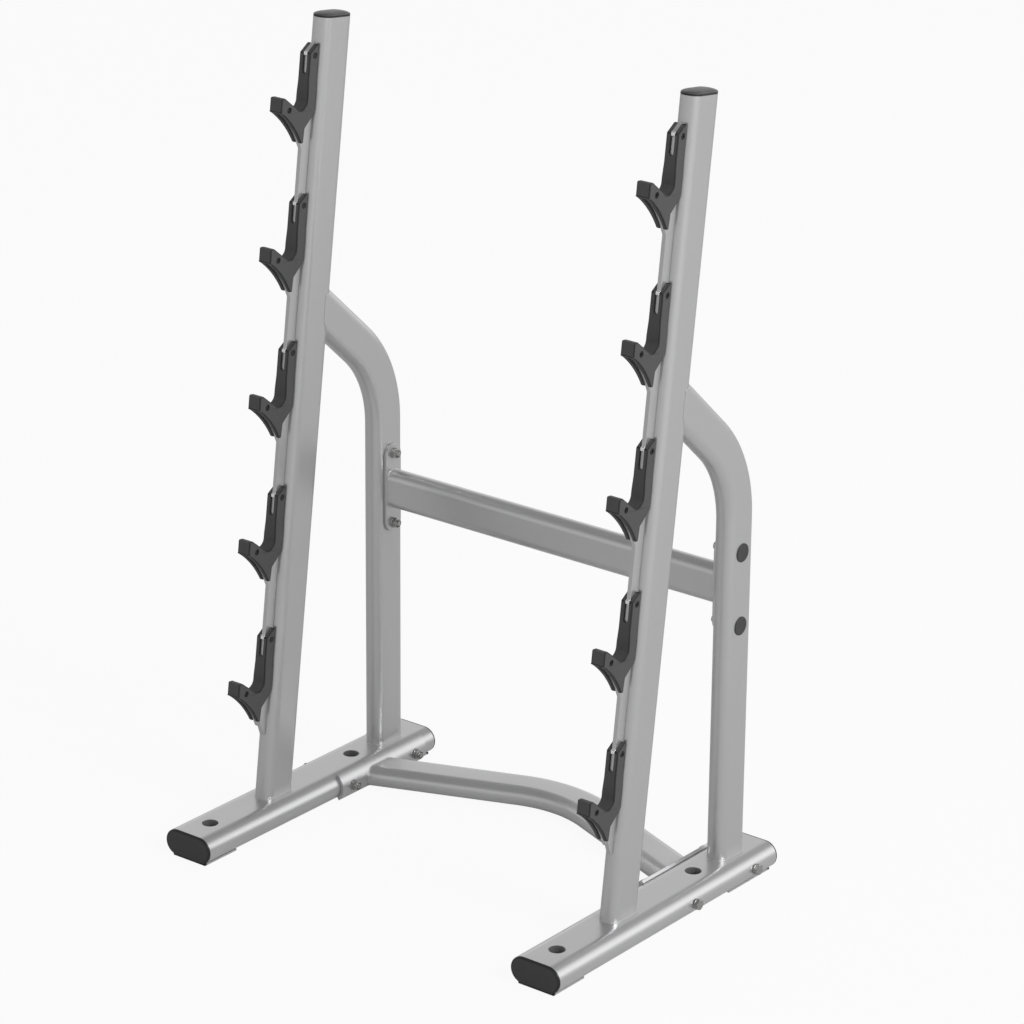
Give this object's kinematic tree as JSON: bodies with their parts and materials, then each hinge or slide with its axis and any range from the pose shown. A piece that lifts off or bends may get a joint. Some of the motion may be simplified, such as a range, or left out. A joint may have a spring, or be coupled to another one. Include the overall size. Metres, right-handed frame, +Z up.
{
  "type": "barbell storage rack",
  "caption": "Free-standing steel rack that holds fixed barbells on plastic-covered hooks along leaning uprights, with bent rear posts, a cross bar and a bowed floor brace.",
  "frame": {"origin": "on the floor, under the middle of the rack's outer width and depth", "axes": "+Z up, +X to the right as seen from the side where bars are loaded, +Y to the rear; bars are loaded from -Y"},
  "size_m": [0.887, 0.622, 1.4457],
  "materials": {
    "frame_paint": "satin silver-grey powder coat",
    "saddle_plastic": "fine matt moulded charcoal",
    "cap_plastic": "matt black moulded",
    "zinc_steel": "bright zinc plate",
    "black_screw": "black oxide"
  },
  "bodies": {
    "root": {"foot_tube_left": "frame_paint", "foot_cap_front_left": "cap_plastic", "foot_cap_rear_left": "cap_plastic", "rear_post_left": "frame_paint", "front_upright_left": "frame_paint", "top_cap_left": "cap_plastic", "hook_rail_left": "frame_paint", "crossbar_plate_left": "frame_paint", "brace_plate_left": "frame_paint", "post_plug_upper_left": "cap_plastic", "crossbar_bolt_upper_left": "zinc_steel", "crossbar_nut_upper_left": "zinc_steel", "post_plug_lower_left": "cap_plastic", "crossbar_bolt_lower_left": "zinc_steel", "crossbar_nut_lower_left": "zinc_steel", "brace_bolt_front_left": "zinc_steel", "brace_nut_front_left": "zinc_steel", "brace_bolt_rear_left": "zinc_steel", "brace_nut_rear_left": "zinc_steel", "saddle_left_1": "saddle_plastic", "saddle_screw_left_1": "black_screw", "saddle_left_2": "saddle_plastic", "saddle_screw_left_2": "black_screw", "saddle_left_3": "saddle_plastic", "saddle_screw_left_3": "black_screw", "saddle_left_4": "saddle_plastic", "saddle_screw_left_4": "black_screw", "saddle_left_5": "saddle_plastic", "saddle_screw_left_5": "black_screw", "foot_tube_right": "frame_paint", "foot_cap_front_right": "cap_plastic", "foot_cap_rear_right": "cap_plastic", "rear_post_right": "frame_paint", "front_upright_right": "frame_paint", "top_cap_right": "cap_plastic", "hook_rail_right": "frame_paint", "crossbar_plate_right": "frame_paint", "brace_plate_right": "frame_paint", "post_plug_upper_right": "cap_plastic", "crossbar_bolt_upper_right": "zinc_steel", "crossbar_nut_upper_right": "zinc_steel", "post_plug_lower_right": "cap_plastic", "crossbar_bolt_lower_right": "zinc_steel", "crossbar_nut_lower_right": "zinc_steel", "brace_bolt_front_right": "zinc_steel", "brace_nut_front_right": "zinc_steel", "brace_bolt_rear_right": "zinc_steel", "brace_nut_rear_right": "zinc_steel", "saddle_right_1": "saddle_plastic", "saddle_screw_right_1": "black_screw", "saddle_right_2": "saddle_plastic", "saddle_screw_right_2": "black_screw", "saddle_right_3": "saddle_plastic", "saddle_screw_right_3": "black_screw", "saddle_right_4": "saddle_plastic", "saddle_screw_right_4": "black_screw", "saddle_right_5": "saddle_plastic", "saddle_screw_right_5": "black_screw", "upper_crossbar": "frame_paint", "lower_brace": "frame_paint"}
  },
  "joints": []
}
